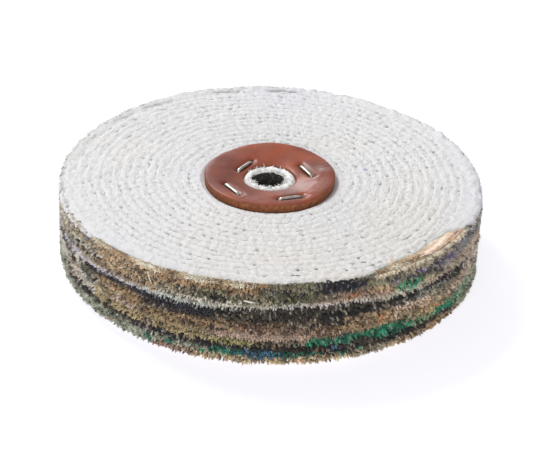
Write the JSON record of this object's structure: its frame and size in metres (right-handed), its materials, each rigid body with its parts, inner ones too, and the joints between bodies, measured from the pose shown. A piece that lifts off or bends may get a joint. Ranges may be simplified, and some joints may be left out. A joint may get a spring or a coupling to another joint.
{
  "type": "cloth polishing wheel",
  "caption": "Spiral-sewn cloth polishing wheel of stacked rag layers between white covers, with stapled leather centre washers and a round spindle bore.",
  "frame": {"origin": "centre of the spindle bore at the middle of the wheel's thickness", "axes": "+Z along the spindle axis towards the leather washer that carries the staple crowns; +X and +Y lie in the wheel's plane"},
  "size_m": [0.1993, 0.1991, 0.047],
  "materials": {
    "white_cover_cloth": "soft matt unbleached white cotton, puckered by the sewing",
    "sewing_thread": "twisted white cotton thread",
    "brown_leather": "smooth reddish brown grain leather, slight gloss",
    "steel_wire": "drawn steel wire, dull bright",
    "rag_tan": "coarse tan shoddy cloth, fluffy cut edge",
    "rag_olive_grey": "olive grey woven rag",
    "rag_grey_brown": "grey brown shoddy cloth",
    "rag_grey": "grey marl rag cloth",
    "rag_navy_black": "dark navy and black rag cloth",
    "rag_black_brown": "black brown shoddy cloth",
    "rag_fawn": "fawn shoddy cloth",
    "rag_brown": "brown shoddy cloth",
    "rag_ochre": "ochre shoddy cloth",
    "rag_black": "black rag cloth",
    "rag_teal": "teal and green rag cloth",
    "rag_rust": "tan and rust rag cloth"
  },
  "bodies": {
    "root": {"upper_section_top_cover": "white_cover_cloth", "upper_section_needle_thread": "sewing_thread", "upper_section_rag_layer_1": "rag_tan", "upper_section_rag_layer_2": "rag_olive_grey", "upper_section_rag_layer_3": "rag_grey_brown", "upper_section_rag_layer_4": "rag_grey", "upper_section_bottom_cover": "white_cover_cloth", "upper_section_bobbin_thread": "sewing_thread", "middle_section_top_cover": "white_cover_cloth", "middle_section_needle_thread": "sewing_thread", "middle_section_rag_layer_1": "rag_navy_black", "middle_section_rag_layer_2": "rag_black_brown", "middle_section_rag_layer_3": "rag_fawn", "middle_section_rag_layer_4": "rag_brown", "middle_section_bottom_cover": "white_cover_cloth", "middle_section_bobbin_thread": "sewing_thread", "lower_section_top_cover": "white_cover_cloth", "lower_section_needle_thread": "sewing_thread", "lower_section_rag_layer_1": "rag_ochre", "lower_section_rag_layer_2": "rag_black", "lower_section_rag_layer_3": "rag_teal", "lower_section_rag_layer_4": "rag_rust", "lower_section_bottom_cover": "white_cover_cloth", "lower_section_bobbin_thread": "sewing_thread", "top_leather_washer": "brown_leather", "bottom_leather_washer": "brown_leather", "wire_staple_1": "steel_wire", "wire_staple_2": "steel_wire", "wire_staple_3": "steel_wire", "wire_staple_4": "steel_wire"}
  },
  "joints": []
}
